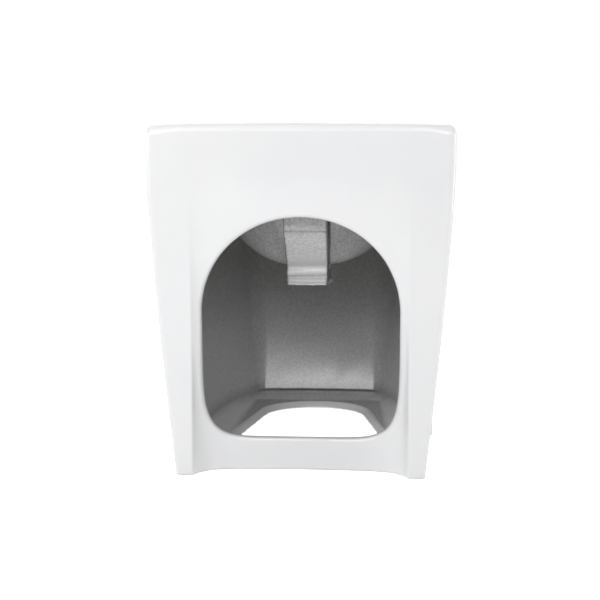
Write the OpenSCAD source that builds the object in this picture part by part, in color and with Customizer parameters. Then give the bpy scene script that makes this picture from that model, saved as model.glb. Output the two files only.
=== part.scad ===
// Back-to-wall floor-standing bidet in glazed ceramic, with its hidden floor fixings.
// The ceramic is one fired piece. It is drawn as the sections that it is cast in, which meet
// face to face: rim, bowl, shell, rear panel, foot, overflow duct and waste outlet.
// The back is on the wall plane at +Y, the front faces -Y, +Z is up, and the origin is at the
// middle of the base. Depths are measured from the wall plane towards the front.

/* [Body] */
// Height of the rim above the floor
body_h = 400; // [380:5:430]
// Depth of the rim, from the wall to its front
body_d = 540; // [510:5:580]
// Width of the rear face at the rim
rear_w = 344; // [330:2:370]
// Width of the rim across its side corners, before they are rounded
rim_w = 352; // [340:2:380]
// Width across the front corners of the rim, before they are rounded
rim_front_w = 244; // [210:2:270]
// Width of the rear face at the floor
base_rear_w = 286; // [280:2:310]
// Width at the floor across the side corners, before they are rounded
base_w = 302; // [290:2:320]
// Width across the front corners at the floor, before they are rounded
base_front_w = 188; // [170:2:210]
// Depth of the body at the floor
base_d = 462; // [440:2:500]
// Distance from the wall to the side corners
widest_d = 290; // [250:5:320]
// Height of the upright band below the rim
band_h = 50; // [30:5:80]
// How much more the sides turn in towards the floor than a straight taper, which is 1
taper_curve = 1.34; // [1:0.02:1.8]
// How far the front face bows out in the middle
front_crown = 9; // [4:1:16]

/* [Ceramic] */
// Thickness of the ceramic walls
wall_t = 12; // [9:0.5:14]
// Thickness of the rim
rim_t = 14; // [12:1:20]
// Radius of the edges of the rim and of the rear corners
edge_r = 9; // [5:0.5:10]
// Radius of the rim's front corners
rim_corner_r = 88; // [60:2:96]
// Radius of the front corners at the floor
base_corner_r = 40; // [25:1:50]
// Radius of the side corners
side_r = 600; // [300:20:640]
// Radius of the front face in the middle
front_r = 400; // [300:20:500]

/* [Rear opening] */
// Width of the service opening in the rear panel
opening_w = 228; // [200:2:230]
// Height of the top of the service opening above the floor
opening_top = 296; // [270:2:310]
// Height of the bar below the service opening
opening_bottom = 40; // [34:1:60]
// Height at which the service opening is widest
opening_waist = 150; // [130:5:170]
// Squareness of the upper half of the opening, where 2 is an ellipse
opening_arch = 2.42; // [2:0.02:3.2]
// Squareness of the lower half of the opening
opening_square = 6; // [4:0.5:8]
// Width between the rear pillars, which the recessed panel fills
recess_w = 244; // [236:2:250]
// Depth of the recess below the wall plane at the floor
recess_d = 34; // [20:1:40]
// Height at which the recess begins
recess_top = 340; // [320:5:350]
// How much faster the recess deepens towards the floor than a flat slope, which is 1
recess_curve = 1.2; // [1:0.05:1.6]
// Width of the slope between the recess and each pillar
recess_ramp = 21; // [12:1:26]
// Share of the recess depth that is lost towards its sides
recess_bow = 0.2; // [0:0.05:0.3]

/* [Bowl] */
// Inner width of the bowl at the rim
bowl_w = 256; // [230:2:280]
// Depth of the deck between the wall plane and the bowl
deck_d = 118; // [110:2:130]
// Width of the rim in front of the bowl
front_rim_w = 38; // [30:1:50]
// Height of the bowl's bottom inside
bowl_floor_z = 232; // [220:2:260]
// Squareness of the bowl's outline, where 2 is an ellipse
bowl_square = 2.8; // [2.2:0.1:3.6]
// Radius of the bowl's edge
bowl_edge_r = 8; // [4:0.5:12]

/* [Tap and waste] */
// Diameter of the tap hole
tap_hole_d = 35; // [33:0.5:36]
// Distance from the wall to the tap hole's centre
tap_from_wall = 48; // [44:1:52]
// Diameter of the waste hole
waste_hole_d = 45; // [43:0.5:48]
// Distance from the wall to the waste hole's centre
waste_from_wall = 195; // [185:1:215]
// Diameter of the waste outlet
waste_boss_d = 60; // [58:1:66]
// Length of the waste outlet below the bowl's outside
waste_boss_h = 20; // [14:1:30]
// Height of the lip at the foot of the waste outlet
waste_lip_h = 6; // [4:0.5:8]
// How far that lip stands out
waste_lip_t = 1.5; // [1:0.25:2.5]
// Height of the chamfer round the waste hole
waste_chamfer = 2; // [1:0.5:4]
// Width of the overflow port in the waste outlet
port_w = 14; // [10:1:18]
// Height of the overflow port in the waste outlet
port_h = 8; // [6:0.5:9]
// Distance of the overflow port above the lip
port_up = 3; // [2:0.5:4]

/* [Overflow] */
// Diameter of the overflow hole
overflow_hole_d = 22; // [20:0.5:25]
// Distance of the overflow hole's centre below the rim
overflow_drop = 55; // [50:1:60]
// Diameter of the overflow cover
cover_d = 32; // [28:1:36]
// Thickness of the overflow cover's ring
cover_t = 2.4; // [1.5:0.1:3]
// Length of the overflow cover's sleeve
cover_sleeve = 12; // [8:0.5:14]
// Wall of the overflow cover's sleeve
cover_wall = 1.6; // [1:0.1:2]
// Width of the overflow duct
duct_w = 49; // [44:1:56]
// Distance from the wall to the back of the duct
duct_from_wall = 72; // [70:1:80]
// Wall of the overflow duct
duct_t = 6; // [5:0.5:8]
// Distance of the duct's closed top below the rim
duct_drop = 28; // [26:1:32]
// Height at which the duct's back begins to slope
duct_kink_z = 274; // [265:1:285]
// Distance from the duct's slope to the waste outlet, at the slope's foot
duct_heel = 15; // [12:1:18]

/* [Foot] */
// Thickness of the foot
foot_t = 9; // [7:0.5:12]
// Width of the floor opening
floor_w = 180; // [160:2:190]
// Distance from the wall to the floor opening's front
floor_front_d = 378; // [360:2:390]
// Distance from the wall to the floor opening's back
floor_back_d = 60; // [56:1:70]
// Distance from the wall to the place where the floor opening is widest
floor_waist_d = 150; // [140:5:170]
// Squareness of the floor opening
floor_square = 2.8; // [2:0.1:4]

/* [Floor fixings] */
// Distance from the wall to the side screws
fixing_from_wall = 80; // [80:1:90]
// Height of the side screws
fixing_z = 45; // [40:1:50]
// Diameter of the side screws
screw_d = 6; // [5:0.5:8]
// Diameter of the side screws' heads
screw_head_d = 11; // [10:0.5:12]
// Height of the side screws' heads
screw_head_h = 3.2; // [2.5:0.1:3.5]
// Width of the slot in the side screws' heads
screw_slot_w = 1.4; // [1:0.1:1.8]
// Depth of the slot in the side screws' heads
screw_slot_h = 1.2; // [0.8:0.1:1.6]
// Width across the flats of the nuts
nut_af = 10; // [9:0.5:13]
// Thickness of the nuts
nut_t = 5; // [4:0.5:6]
// Diameter of the bushes' sleeves
bush_d = 12; // [10:0.5:14]
// Diameter of the bushes' flanges
bush_flange_d = 18; // [16:0.5:20]
// Thickness of the bushes' flanges
bush_flange_t = 1.5; // [1:0.1:2]
// Diameter of the cover caps
cap_d = 25; // [24:0.5:28]
// Wall of the cover caps
cap_t = 1.6; // [1.2:0.1:2]
// Depth of the cover caps' seats in the ceramic
cap_seat = 4; // [3.5:0.1:4.5]
// Width of the brackets
bracket_w = 40; // [34:1:46]
// Thickness of the brackets' plates
bracket_t = 4; // [3:0.5:5]
// Height of the brackets
bracket_h = 58; // [54:1:62]
// Length of the brackets' feet
bracket_foot = 38; // [34:1:42]
// Gap between the brackets' upright plates and the ceramic wall at the floor
bracket_inset = 2; // [1:0.5:3]
// Diameter of the brackets' screw bosses
bracket_boss_d = 16; // [14:0.5:18]
// Diameter of the holes for the floor screws
floor_hole_d = 9; // [7:0.5:10]
// Distance from the end of a bracket's foot to its floor hole
floor_hole_in = 14; // [12:1:16]
// Gap between a bracket and the foot around it
bay_gap = 1.5; // [1:0.5:3]

/* [Clearances] */
// Gap around pieces that fit into each other
fit_gap = 0.3; // [0.2:0.05:0.5]
// Gap around the screws in the nuts and bosses
thread_gap = 0.15; // [0.1:0.05:0.25]

/* [Hidden] */
$fn = 64;
ceramic_color = "white";
raw_color = "gainsboro";
past = 1;

// Heights that several sections share
rim_z = body_h - rim_t;
band_z = body_h - band_h;
bowl_under_z = bowl_floor_z - wall_t;
boss_bottom_z = bowl_under_z - waste_boss_h;
boss_r = waste_boss_d / 2;
overflow_z = body_h - overflow_drop;
duct_top_z = body_h - duct_drop;

// Steps along each stretch of the outline
rear_steps = 4;
edge_steps = 4;
side_steps = 5;
bend_steps = 4;
corner_steps = 8;
crown_steps = 2;
shell_levels = 12;
bowl_levels = 10;
edge_levels = 4;
ring_points = 64;
panel_rings = 5;
dome_steps = 5;

// Least radius of a corner inside the walls
least_r = 3;

function unit(v) = v / norm(v);
function mix(a, b, t) = a + (b - a) * t;
function at_depth(p, z) = [p.x, body_d / 2 - p.y, z];

// Share of the way from the upright band down to the foot, whose sides are upright too
function taper(z) =
    pow(max(0, (band_z - max(z, foot_t)) / (band_z - foot_t)), taper_curve);

// Corner p between a and b, moved in by t from both of its sides
function inset_corner(a, p, b, t) =
    let (u = unit(a - p), v = unit(b - p), half = acos(u * v) / 2)
    p + unit(u + v) * t / sin(half);

// Arc of radius r in n steps that rounds the corner p between a and b
function round_corner(a, p, b, r, n) =
    let (
        u = unit(a - p),
        v = unit(b - p),
        half = acos(u * v) / 2,
        mid = p + unit(u + v) * r / sin(half),
        from = p + u * r / tan(half) - mid,
        turn = (u.x * v.y - u.y * v.x > 0 ? -1 : 1) * (180 - 2 * half),
        start = atan2(from.y, from.x)
    )
    [for (i = [0:n]) mid + r * [cos(start + turn * i / n), sin(start + turn * i / n)]];

function between(a, b, n) = [for (i = [1:n - 1]) mix(a, b, i / n)];

// Corners of the body's outline at height z, as width and depth, from the back to the front.
// The front's corner stands before the arc that rounds it, so that the arc reaches the depth.
function body_corners(z) =
    let (
        t = taper(z),
        front_x = mix(rim_front_w, base_front_w, t) / 2,
        lift = front_r * (1 / cos(atan(front_crown / front_x)) - 1),
        front = mix(body_d, base_d, t) + lift
    )
    [[0, 0], [mix(rear_w, base_rear_w, t) / 2, 0], [mix(rim_w, base_w, t) / 2, widest_d],
        [front_x, front - front_crown], [0, front], [-front_x, front - front_crown]];

// Half width of the body's outline at height z, set in by t, beside the depth d
function side_x(z, t, d) =
    let (
        c = body_corners(z),
        p1 = inset_corner(c[0], c[1], c[2], t),
        p2 = inset_corner(c[1], c[2], c[3], t)
    )
    mix(p1.x, p2.x, (d - p1.y) / (p2.y - p1.y));

// Half of the outline at height z, set in by t, from the back's middle to the front's middle
function half_outline(z, t) =
    let (
        c = body_corners(z),
        a = [0, t],
        p1 = inset_corner(c[0], c[1], c[2], t),
        p2 = inset_corner(c[1], c[2], c[3], t),
        p3 = inset_corner(c[2], c[3], c[4], t),
        p4 = inset_corner(c[3], c[4], c[5], t),
        corner_r = mix(rim_corner_r, base_corner_r, taper(z)) - t,
        edge = round_corner(a, p1, p2, max(edge_r - t, least_r), edge_steps),
        bend = round_corner(p1, p2, p3, side_r - t, bend_steps),
        corner = round_corner(p2, p3, p4, corner_r, corner_steps),
        crown = round_corner(p3, p4, [-p3.x, p3.y], front_r - t, 2 * crown_steps)
    )
    concat(
        [for (i = [0:rear_steps]) [recess_w / 2 * i / rear_steps, t]],
        edge,
        between(edge[edge_steps], bend[0], side_steps),
        bend,
        between(bend[bend_steps], corner[0], side_steps),
        corner,
        [for (i = [0:crown_steps]) crown[i]]
    );

function whole(half) =
    concat(half, [for (i = [len(half) - 2:-1:1]) [-half[i].x, half[i].y]]);

function outline(z, t) = whole(half_outline(z, t));

// Directions of the outline's points seen from the bowl's middle
bowl_mid_d = (deck_d + body_d - front_rim_w) / 2;
directions = [for (p = outline(body_h, 0)) atan2(p.y - bowl_mid_d, p.x)];
widest_step = max([for (i = [0:len(directions) - 1])
    (directions[(i + 1) % len(directions)] - directions[i] + 360) % 360]);

// Ring of a superellipse around the bowl's middle, grown by t on all sides
function bowl_outline(t) =
    let (
        a = bowl_w / 2 + t,
        b = (body_d - front_rim_w - deck_d) / 2 + t,
        n = bowl_square
    )
    [for (q = directions)
        let (r = pow(pow(abs(cos(q)) / a, n) + pow(abs(sin(q)) / b, n), -1 / n))
        [r * cos(q), bowl_mid_d + r * sin(q)]];

function waste_ring() =
    [for (q = directions) [boss_r * cos(q), waste_from_wall + boss_r * sin(q)]];

// Ring of the bowl's surface at the share u of its rise, for an outline and a bottom height
function bowl_ring(top, bottom_z, u) =
    let (low = waste_ring(), z = mix(rim_z, bottom_z, cos(90 * u)))
    [for (i = [0:len(low) - 1]) at_depth(mix(low[i], top[i], sin(90 * u)), z)];

// Height on the bowl's back at the share u of its rise: on its inside, or t outside that
function bowl_back_z(u, t) = mix(rim_z, bowl_floor_z - t, cos(90 * u));

// Depth of the bowl's back on its middle line at height z: its inside, or t outside that
function bowl_back_d(z, t) =
    let (c = min(1, (rim_z - z) / (rim_z - bowl_floor_z + t)))
    mix(waste_from_wall - boss_r, deck_d - t, sqrt(1 - c * c));

// Depth of the recess behind the wall plane, at width x and height z
function recess(x, z) =
    let (
        down = pow(max(0, (recess_top - z) / recess_top), recess_curve),
        s = min(1, max(0, (recess_w / 2 - abs(x)) / recess_ramp)),
        bow = 1 - recess_bow * pow(2 * x / recess_w, 2)
    )
    recess_d * down * s * s * (3 - 2 * s) * bow;

// Faces of a skin over rings of n points, where the last of the m rings joins the first
function skin_faces(m, n) = [
    for (j = [0:m - 1]) for (i = [0:n - 1])
        let (
            a = j * n + i,
            b = j * n + (i + 1) % n,
            c = (j + 1) % m * n + (i + 1) % n,
            d = (j + 1) % m * n + i
        )
        each [[a, b, c], [a, c, d]]
];

module skin(rings) {
    polyhedron(
        points = [for (ring = rings) each ring],
        faces = skin_faces(len(rings), len(rings[0])),
        convexity = 8
    );
}

// Draws its children at a place on the right side, facing away from the body
module along_x(x, from_wall, z) {
    translate([x, body_d / 2 - from_wall, z]) rotate([0, 90, 0]) children();
}

// Draws its children at a depth on the middle line, facing the front
module along_y(z, from_wall) {
    translate([0, body_d / 2 - from_wall, z]) rotate([90, 0, 0]) children();
}

module upright_hole(diameter, from_wall, low, high) {
    translate([0, body_d / 2 - from_wall, low - past])
        cylinder(h = high - low + 2 * past, d = diameter);
}

// Rim with its deck, from the underside round the outer edge and the bowl's edge
module rim_deck() {
    outer = [for (i = [0:edge_levels])
        let (q = 90 * i / edge_levels)
        [for (p = outline(body_h, edge_r * (1 - cos(q))))
            at_depth(p, body_h - edge_r * (1 - sin(q)))]];
    inner = [for (i = [edge_levels:-1:0])
        let (q = 90 * i / edge_levels)
        [for (p = bowl_outline(bowl_edge_r * (1 - cos(q))))
            at_depth(p, body_h - bowl_edge_r * (1 - sin(q)))]];
    under_outer = [for (p = outline(rim_z, 0)) at_depth(p, rim_z)];
    under_inner = [for (p = bowl_outline(0)) at_depth(p, rim_z)];
    color(ceramic_color) difference() {
        skin(concat([under_outer], outer, inner, [under_inner]));
        upright_hole(tap_hole_d, tap_from_wall, rim_z, body_h);
    }
}

// Bowl shell, open at the top and round the waste outlet
module bowl() {
    outside = [for (i = [bowl_levels:-1:0])
        bowl_ring(bowl_outline(wall_t), bowl_under_z, i / bowl_levels)];
    inside = [for (i = [0:bowl_levels])
        bowl_ring(bowl_outline(0), bowl_floor_z, i / bowl_levels)];
    color(ceramic_color) difference() {
        skin(concat(outside, inside));
        along_y(overflow_z, cover_seat_d) {
            translate([0, 0, -2 * wall_t]) cylinder(h = 3 * wall_t, d = overflow_hole_d);
            cylinder(h = wall_t, d = cover_d + 2 * fit_gap);
        }
    }
}

// Outer shell: two rear pillars, the sides and the front in one wall
module body_shell() {
    first = rear_steps;
    count = len(outline(body_h, 0)) - 2 * rear_steps;
    heights = [for (i = [0:shell_levels]) mix(foot_t, rim_z, i / shell_levels)];
    up = [for (z = heights)
        let (ring = outline(z, 0))
        [for (i = [first:first + count]) at_depth(ring[i % len(ring)], z)]];
    down = [for (i = [shell_levels:-1:0])
        let (ring = outline(heights[i], wall_t))
        [for (k = [first:first + count]) at_depth(ring[k % len(ring)], heights[i])]];
    rings = concat(up, down);
    n = count + 1;
    m = len(rings);
    sides = [for (j = [0:m - 1]) for (i = [0:n - 2])
        let (a = j * n + i, d = (j + 1) % m * n + i)
        each [[a, a + 1, d + 1], [a, d + 1, d]]];
    ends = [for (j = [0:shell_levels - 1])
        let (a = j * n, b = (j + 1) * n, c = (m - 2 - j) * n, d = (m - 1 - j) * n)
        each [[a, b, c], [a, c, d], [a + n - 1, c + n - 1, b + n - 1],
            [a + n - 1, d + n - 1, c + n - 1]]];
    color(ceramic_color) difference() {
        polyhedron([for (ring = rings) each ring], concat(sides, ends), convexity = 8);
        both_sides() along_x(cap_seat_x, fixing_from_wall, fixing_z) {
            cylinder(h = 2 * cap_seat, d = cap_d + 2 * fit_gap);
            translate([0, 0, -2 * wall_t]) cylinder(h = 3 * wall_t, d = bush_d + 2 * fit_gap);
        }
    }
}

// Recessed panel between the pillars, with the service opening
module rear_panel() {
    half_w = recess_w / 2;
    mid_z = (foot_t + rim_z) / 2;
    half_h = (rim_z - foot_t) / 2;
    angles = [for (i = [0:ring_points - 1]) 360 * i / ring_points];
    frame = [for (q = angles)
        let (k = 1 / max(abs(cos(q)), abs(sin(q))))
        [half_w * k * cos(q), mid_z + half_h * k * sin(q)]];
    hole = [for (q = angles)
        let (
            n = sin(q) > 0 ? opening_arch : opening_square,
            rise = sin(q) > 0 ? opening_top - opening_waist : opening_waist - opening_bottom
        )
        [opening_w / 2 * sign(cos(q)) * pow(abs(cos(q)), 2 / n),
            opening_waist + rise * sign(sin(q)) * pow(abs(sin(q)), 2 / n)]];
    back = [for (j = [0:panel_rings]) [for (i = [0:ring_points - 1])
        let (p = mix(hole[i], frame[i], j / panel_rings))
        at_depth([p.x, recess(p.x, p.y)], p.y)]];
    front = [for (j = [panel_rings:-1:0]) [for (i = [0:ring_points - 1])
        let (p = mix(hole[i], frame[i], j / panel_rings))
        at_depth([p.x, recess(p.x, p.y) + wall_t], p.y)]];
    color(ceramic_color) skin(concat(back, front));
}

// Foot with the floor opening, which a bay widens at the back so that the brackets stand in it
module foot_flange() {
    edge = [for (p = outline(foot_t, 0))
        [p.x, body_d / 2 - (p.y > 0 ? p.y : recess(p.x, foot_t))]];
    opening = [for (i = [0:ring_points - 1])
        let (
            q = 360 * i / ring_points,
            b = sin(q) > 0 ? floor_front_d - floor_waist_d : floor_waist_d - floor_back_d,
            x = floor_w / 2 * sign(cos(q)) * pow(abs(cos(q)), 2 / floor_square),
            y = b * sign(sin(q)) * pow(abs(sin(q)), 2 / floor_square)
        )
        [x, body_d / 2 - floor_waist_d - y]];
    color(raw_color) difference() {
        linear_extrude(height = foot_t) polygon(edge);
        translate([0, 0, -past]) linear_extrude(height = foot_t + 2 * past) polygon(opening);
        translate([0, bracket_y, foot_t / 2])
            cube([2 * (bracket_x + bay_gap), bracket_w + 2 * bay_gap, foot_t + 2 * past],
                center = true);
    }
}

// Duct from the overflow hole down the back of the bowl to the waste outlet
module overflow_duct() {
    front_d = waste_from_wall - boss_r - fit_gap;
    low_z = boss_bottom_z + waste_lip_h + fit_gap;
    port_z = low_z + port_up;
    top = [duct_from_wall, duct_top_z];
    kink = [duct_from_wall, duct_kink_z];
    heel = [front_d - duct_heel, port_z];
    low = [heel.x, low_z];
    levels = [for (i = [0:bowl_levels])
        let (z = bowl_back_z(i / bowl_levels, wall_t))
        if (z < duct_top_z) z];
    follow = [for (z = concat(levels, [duct_top_z])) [bowl_back_d(z, wall_t) - fit_gap, z]];
    body = concat([top, kink, heel, low, [front_d, low_z]], follow);
    channel = [top + [duct_t, -duct_t], inset_corner(top, kink, heel, duct_t),
        inset_corner(kink, heel, low, -duct_t), [heel.x + duct_t, port_z],
        [waste_from_wall, port_z], [waste_from_wall, duct_top_z - duct_t]];
    color(raw_color) difference() {
        side_slab(body, duct_w);
        side_slab(channel, duct_w - 2 * duct_t);
    }
}

// Slab of a width across the middle, from an outline of depths and heights
module side_slab(points, width) {
    translate([-width / 2, body_d / 2, 0]) rotate([90, 0, 90])
        linear_extrude(height = width) polygon([for (p = points) [-p.x, p.y]]);
}

// Waste outlet with its lip and the port where the overflow comes in
module waste_boss() {
    fit_r = boss_r * cos(widest_step / 2) - fit_gap / 2;
    neck_r = boss_r - waste_lip_t;
    bore_r = waste_hole_d / 2;
    lip_z = boss_bottom_z + waste_lip_h;
    color(raw_color) difference() {
        translate([0, body_d / 2 - waste_from_wall, 0]) rotate_extrude()
            polygon([[bore_r, boss_bottom_z], [boss_r, boss_bottom_z], [boss_r, lip_z],
                [neck_r, lip_z], [neck_r, bowl_under_z], [fit_r, bowl_under_z],
                [fit_r, bowl_floor_z], [bore_r, bowl_floor_z - waste_chamfer]]);
        translate([-port_w / 2, body_d / 2 - waste_from_wall, lip_z + port_up])
            cube([port_w, boss_r + past, port_h]);
    }
}

// Seat of the overflow cover, level with the bowl's wall at the cover's top
cover_seat_d = bowl_back_d(overflow_z + cover_d / 2 + fit_gap, 0);

// Push-in ring over the overflow hole
module overflow_cover() {
    sleeve_r = overflow_hole_d / 2 - fit_gap;
    bore_r = sleeve_r - cover_wall;
    turn = [for (i = [0:dome_steps]) 90 * i / dome_steps];
    color("silver") along_y(overflow_z, cover_seat_d + fit_gap) rotate_extrude()
        polygon(concat(
            [[bore_r, -cover_sleeve], [sleeve_r, -cover_sleeve], [sleeve_r, 0]],
            [for (q = turn) [cover_d / 2 - cover_t * (1 - cos(q)), cover_t * sin(q)]],
            [for (q = turn)
                [bore_r + cover_wall * (1 - sin(q)), cover_t - cover_wall * (1 - cos(q))]]
        ));
}

// Places of the floor fixings
cap_seat_x = side_x(fixing_z, 0, fixing_from_wall) - cap_seat;
boss_end_x = side_x(fixing_z - bracket_boss_d / 2, wall_t, fixing_from_wall) - fit_gap;
bracket_x = side_x(0, wall_t, fixing_from_wall - bracket_w / 2) - bracket_inset;
bracket_y = body_d / 2 - fixing_from_wall;

// Angle bracket for one side, with its screw boss and two gussets
module bracket(side) {
    mirror([side < 0 ? 1 : 0, 0, 0]) color("lightgrey") difference() {
        union() {
            translate([bracket_x - bracket_foot, bracket_y - bracket_w / 2, 0])
                cube([bracket_foot, bracket_w, bracket_t]);
            translate([bracket_x - bracket_t, bracket_y - bracket_w / 2, 0])
                cube([bracket_t, bracket_w, bracket_h]);
            translate([bracket_x - past, bracket_y, fixing_z]) rotate([0, 90, 0])
                cylinder(h = boss_end_x - bracket_x + past, d = bracket_boss_d);
            for (end = [-1, 1])
                translate([bracket_x - past, bracket_y + end * (bracket_w - bracket_t) / 2, 0])
                    rotate([90, 0, 0])
                        linear_extrude(height = bracket_t, center = true)
                            polygon([[0, past], [0, bracket_h - bracket_t],
                                [-bracket_foot / 2, past]]);
        }
        translate([bracket_x - bracket_foot + floor_hole_in, bracket_y, -past])
            cylinder(h = bracket_t + 2 * past, d = floor_hole_d);
        translate([bracket_x - bracket_foot, bracket_y, fixing_z]) rotate([0, 90, 0])
            cylinder(h = 2 * bracket_foot, d = screw_d + 2 * thread_gap);
    }
}

module bracket_left() {
    bracket(-1);
}

module bracket_right() {
    bracket(1);
}

// Mirrors what is drawn on the +X side, so that both sides have it
module both_sides() {
    children();
    mirror([1, 0, 0]) children();
}

// Bushes that keep the screws off the ceramic
module side_bushes() {
    both_sides() color("whitesmoke") along_x(cap_seat_x, fixing_from_wall, fixing_z)
        difference() {
            union() {
                translate([0, 0, -(wall_t - cap_seat)])
                    cylinder(h = wall_t - cap_seat + past, d = bush_d);
                translate([0, 0, fit_gap]) cylinder(h = bush_flange_t, d = bush_flange_d);
            }
            translate([0, 0, -wall_t])
                cylinder(h = 2 * wall_t, d = screw_d + 2 * fit_gap);
        }
}

screw_seat_x = cap_seat_x + fit_gap + bush_flange_t;

// Screws from the sides into the brackets, with their drive slots
module side_screws() {
    length = screw_seat_x - bracket_x + bracket_t + nut_t + screw_d / 2;
    both_sides() color("silver") along_x(screw_seat_x, fixing_from_wall, fixing_z)
        difference() {
            union() {
                translate([0, 0, fit_gap / 2])
                    cylinder(h = screw_head_h, d = screw_head_d);
                translate([0, 0, -length]) cylinder(h = length + past, d = screw_d);
            }
            translate([0, 0, fit_gap / 2 + screw_head_h])
                cube([2 * screw_head_d, screw_slot_w, 2 * screw_slot_h], center = true);
        }
}

// Nuts behind the brackets' upright plates
module side_nuts() {
    both_sides() color("silver")
        along_x(bracket_x - bracket_t - nut_t - fit_gap / 2, fixing_from_wall, fixing_z)
            difference() {
                cylinder(h = nut_t, d = nut_af / cos(30), $fn = 6);
                translate([0, 0, -past])
                    cylinder(h = nut_t + 2 * past, d = screw_d + 2 * thread_gap);
            }
}

// Domed cap over a screw head, with a skirt that grips the bush's flange
module cap(side) {
    cap_h = fit_gap + bush_flange_t + screw_head_h + fit_gap * 2 + cap_t;
    skirt_r = bush_flange_d / 2 + fit_gap;
    cap_r = cap_d / 2;
    turn = [for (i = [0:dome_steps]) 90 * i / dome_steps];
    color("white") mirror([side < 0 ? 1 : 0, 0, 0])
        along_x(cap_seat_x, fixing_from_wall, fixing_z) rotate_extrude()
            polygon(concat(
                [[skirt_r, fit_gap], [skirt_r + cap_t, fit_gap],
                    [skirt_r + cap_t, cap_h - 2 * cap_t], [cap_r, cap_h - 2 * cap_t]],
                [for (q = turn) [cap_r * cos(q), cap_h - cap_t * (1 - sin(q))]],
                [[0, cap_h - cap_t], [skirt_r, cap_h - cap_t]]
            ));
}

module cap_left() {
    cap(-1);
}

module cap_right() {
    cap(1);
}

rim_deck();
bowl();
body_shell();
rear_panel();
foot_flange();
overflow_duct();
waste_boss();
overflow_cover();
bracket_left();
bracket_right();
side_bushes();
side_screws();
side_nuts();
cap_left();
cap_right();
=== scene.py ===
import math

import bpy
import numpy as np
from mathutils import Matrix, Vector


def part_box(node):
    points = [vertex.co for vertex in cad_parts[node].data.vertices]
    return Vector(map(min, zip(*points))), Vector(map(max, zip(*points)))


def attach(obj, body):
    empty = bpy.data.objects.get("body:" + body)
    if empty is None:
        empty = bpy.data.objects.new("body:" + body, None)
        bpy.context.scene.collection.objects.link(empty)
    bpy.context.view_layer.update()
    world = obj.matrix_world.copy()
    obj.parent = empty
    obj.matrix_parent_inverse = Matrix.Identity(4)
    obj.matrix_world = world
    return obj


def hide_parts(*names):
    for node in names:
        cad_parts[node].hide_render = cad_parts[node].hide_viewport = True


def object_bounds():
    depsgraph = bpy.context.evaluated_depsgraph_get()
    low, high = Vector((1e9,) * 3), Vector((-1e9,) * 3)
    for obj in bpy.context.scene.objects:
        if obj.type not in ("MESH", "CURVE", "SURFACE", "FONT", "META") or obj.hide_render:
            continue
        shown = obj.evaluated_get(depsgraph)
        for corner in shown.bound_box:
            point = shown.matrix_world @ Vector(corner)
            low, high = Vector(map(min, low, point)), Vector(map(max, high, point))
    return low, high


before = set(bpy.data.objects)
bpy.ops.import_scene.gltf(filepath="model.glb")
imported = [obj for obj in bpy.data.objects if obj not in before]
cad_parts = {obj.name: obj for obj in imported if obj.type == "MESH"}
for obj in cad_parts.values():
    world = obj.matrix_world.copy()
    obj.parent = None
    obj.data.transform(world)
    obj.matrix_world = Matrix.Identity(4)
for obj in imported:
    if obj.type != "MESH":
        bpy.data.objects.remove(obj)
cad_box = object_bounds()

# Sizes in mm with the names and values of the CAD source. A depth, d, is a distance from the wall
body_h, body_d = 400.0, 540.0
rear_w, rim_w, rim_front_w = 344.0, 352.0, 244.0
base_rear_w, base_w, base_front_w, base_d = 286.0, 302.0, 188.0, 462.0
widest_d, band_h, taper_curve, front_crown = 290.0, 50.0, 1.34, 9.0
wall_t, rim_t = 12.0, 14.0
rim_corner_r, base_corner_r, side_r, front_r, least_r = 88.0, 40.0, 600.0, 400.0, 3.0
opening_top = 296.0
recess_w, recess_d, recess_top = 244.0, 34.0, 340.0
recess_curve, recess_bow = 1.2, 0.2
bowl_w, deck_d, front_rim_w, bowl_floor_z = 256.0, 118.0, 38.0, 232.0
bowl_square, bowl_edge_r = 2.8, 8.0
tap_hole_d, tap_from_wall, waste_hole_d, waste_from_wall = 35.0, 48.0, 45.0, 195.0
waste_boss_d, waste_boss_h, waste_lip_h, waste_lip_t = 60.0, 20.0, 6.0, 1.5
port_w, port_h, port_up = 14.0, 8.0, 3.0
overflow_hole_d, overflow_drop, cover_d, cover_t = 22.0, 55.0, 32.0, 2.4
cover_sleeve, cover_wall = 12.0, 1.6
duct_w, duct_from_wall, duct_t, duct_drop, duct_kink_z = 49.0, 72.0, 6.0, 28.0, 274.0
foot_t, floor_w, floor_front_d, floor_back_d, floor_waist_d = 9.0, 180.0, 378.0, 60.0, 150.0
floor_square = 2.8
fixing_from_wall, fixing_z, fit_gap = 80.0, 45.0, 0.3
cap_d, cap_t, cap_seat, bush_d, bush_flange_d, bush_flange_t = 25.0, 1.6, 4.0, 12.0, 18.0, 1.5
screw_d, screw_head_d, screw_head_h = 6.0, 11.0, 3.2
bracket_w, bracket_foot, bracket_t, bracket_h = 40.0, 38.0, 4.0, 58.0
bracket_boss_d, floor_hole_d, nut_af, nut_t, bay_gap = 16.0, 9.0, 10.0, 5.0, 1.5

# Sizes in mm that follow the photo more closely than in the CAD source
edge_r = 5.5
opening_w, opening_bottom, opening_waist = 224.4, 39.0, 188.0
opening_arch, opening_square = 2.03, 6.1

# Places in mm that follow from the sizes
rim_z = body_h - rim_t
band_z = body_h - band_h
bowl_under_z = bowl_floor_z - wall_t
boss_r = waste_boss_d / 2
boss_bottom_z = bowl_under_z - waste_boss_h
overflow_z = body_h - overflow_drop
duct_top_z = body_h - duct_drop
bowl_mid_d = (deck_d + body_d - front_rim_w) / 2
half_d = body_d / 2

# Places in mm that are read from the frame
nodes_box = {n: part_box(n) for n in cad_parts}
boss_end_x = nodes_box["bracket_right"][1].x * 1000
cover_seat_d = half_d - nodes_box["overflow_cover"][0].y * 1000 - cover_t - fit_gap

# Grid step of the ceramic's surface in mm
step = 3.0

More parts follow.
